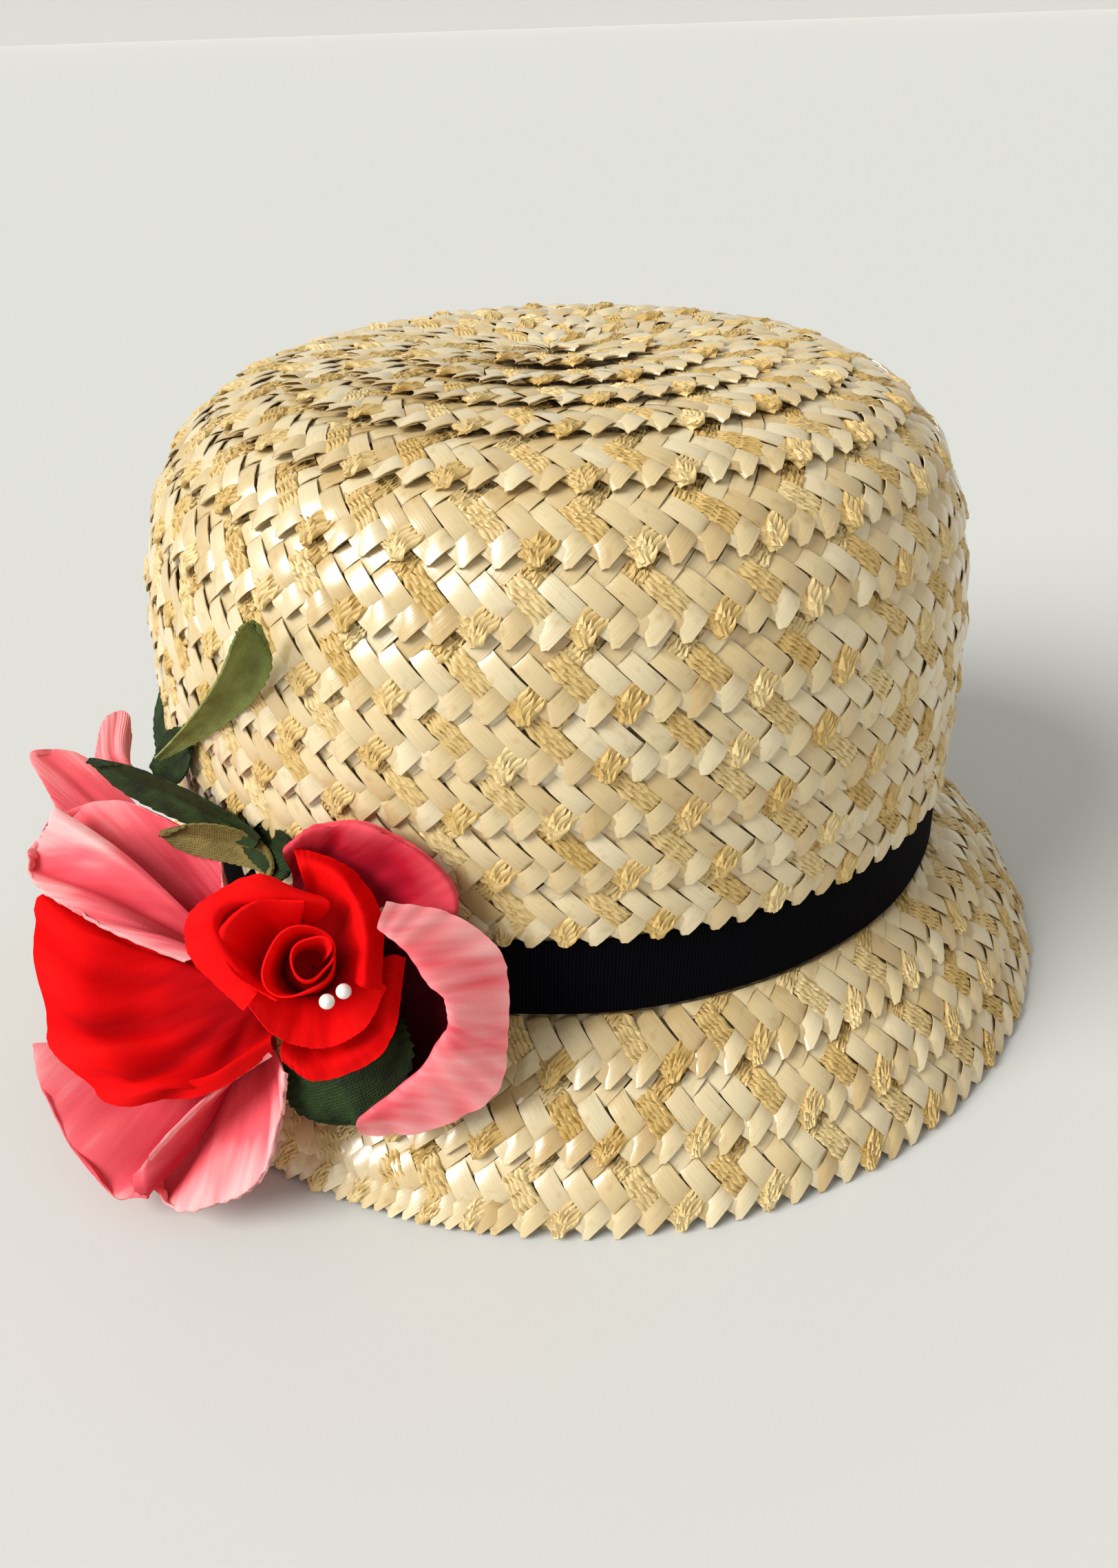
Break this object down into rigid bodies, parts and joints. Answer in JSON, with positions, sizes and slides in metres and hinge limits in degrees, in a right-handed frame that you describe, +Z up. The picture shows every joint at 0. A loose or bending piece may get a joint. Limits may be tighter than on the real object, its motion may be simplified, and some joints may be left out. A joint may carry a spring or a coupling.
{
  "type": "straw bucket hat",
  "caption": "Tall straw bucket hat of sewn braid rows with a short sloping brim, dark ribbon band, silk roses, leaves and pearl pins.",
  "frame": {"origin": "centre of the brim's outline, on the plane that its rim rests on", "axes": "+Z up through the crown, +X along the longer axis of the oval brim, -Y towards the front with the roses on its left"},
  "size_m": [0.241, 0.2324, 0.1434],
  "materials": {
    "straw": "glossy flat strips and twisted golden cords",
    "ribbon": "ribbed grosgrain, matte",
    "red_silk": "soft matte silk",
    "pink_silk": "soft matte silk",
    "leaf_green": "waxed cloth",
    "dark_green": "waxed cloth",
    "stem_brown": "paper wrapped wire",
    "pearl": "pearl gloss"
  },
  "bodies": {
    "root": {"straw_crown": "straw", "straw_brim": "straw", "hat_band": "ribbon", "front_rose_red_petals": "red_silk", "front_rose_pink_top": "pink_silk", "front_rose_pink_right": "pink_silk", "left_rose_red_petals": "red_silk", "left_rose_pink_back": "pink_silk", "left_rose_pink_low": "pink_silk", "left_rose_pink_near": "pink_silk", "leaf_upright": "leaf_green", "leaf_long": "dark_green", "leaf_short": "leaf_green", "leaf_under": "dark_green", "leaf_behind": "dark_green", "far_petal": "pink_silk", "front_rose_stem": "stem_brown", "left_rose_stem": "stem_brown", "leaf_stem": "stem_brown", "pearl_pin_left": "pearl", "pearl_pin_right": "pearl"}
  },
  "joints": []
}
